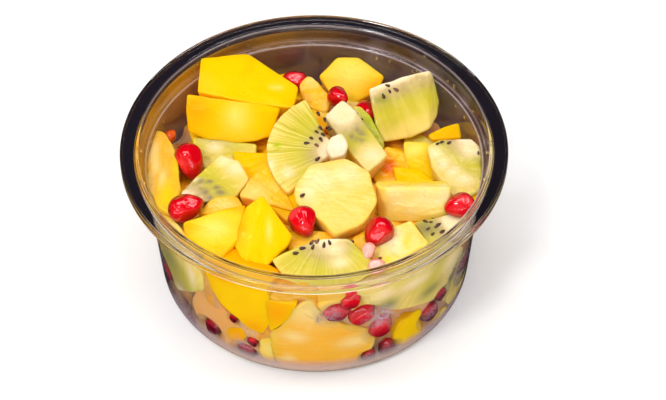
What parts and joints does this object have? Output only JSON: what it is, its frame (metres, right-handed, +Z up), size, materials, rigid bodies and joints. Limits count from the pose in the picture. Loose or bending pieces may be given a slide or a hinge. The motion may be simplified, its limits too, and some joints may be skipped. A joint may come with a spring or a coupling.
{
  "type": "fruit salad in a clear tub",
  "caption": "Fresh fruit salad of cut mango, kiwi, pineapple and peach with pomegranate arils, heaped in a clear round plastic tub with a flanged rim.",
  "frame": {"origin": "middle of the tub's flat base, on the surface it stands on", "axes": "+Z up out of the tub's mouth, -Y towards the side where the fruit is heaped highest against the wall"},
  "size_m": [0.117, 0.117, 0.052],
  "materials": {
    "clear_plastic": "clear, thin, glossy thermoformed plastic",
    "mixed_fruit": "wet cut fruit in juice",
    "mango": "wet, smooth, slightly translucent flesh",
    "peach": "wet, soft flesh with paler tips",
    "pineapple": "wet, fibrous pale flesh",
    "kiwi": "wet, streaked green flesh with a pale core and dark seeds",
    "pomegranate": "glossy translucent red"
  },
  "bodies": {
    "root": {"tub": "clear_plastic", "heap": "mixed_fruit", "aril_front": "pomegranate", "aril_centre": "pomegranate", "aril_left_low": "pomegranate", "aril_left_high": "pomegranate", "aril_right": "pomegranate", "aril_back": "pomegranate", "aril_back_wall": "pomegranate", "aril_behind_kiwi": "pomegranate", "aril_left_sliver": "pomegranate", "aril_pale_front": "pomegranate", "aril_pale_low": "pomegranate", "mango_slab_back": "mango", "kiwi_core_lump": "kiwi", "pineapple_chunk_centre": "pineapple", "kiwi_slice_centre": "kiwi", "kiwi_strip_centre": "kiwi", "kiwi_block_back": "kiwi", "mango_gem_front": "mango", "mango_block_left": "mango", "pineapple_bar_right": "pineapple", "kiwi_half_front": "kiwi", "mango_wedge_back": "mango", "mango_block_back": "mango", "pineapple_wedge_front": "pineapple", "kiwi_block_right": "kiwi", "kiwi_wedge_right": "kiwi", "mango_piece_right": "mango", "kiwi_block_left": "kiwi", "pineapple_strip_left": "pineapple", "peach_wedge_centre": "peach", "kiwi_piece_left": "kiwi", "peach_tip_left": "peach", "kiwi_piece_back": "kiwi", "peach_wedge_back": "peach", "peach_cube_right": "peach", "mango_tip_right": "mango", "peach_chip_left": "peach", "mango_wedge_front": "mango"}
  },
  "joints": []
}
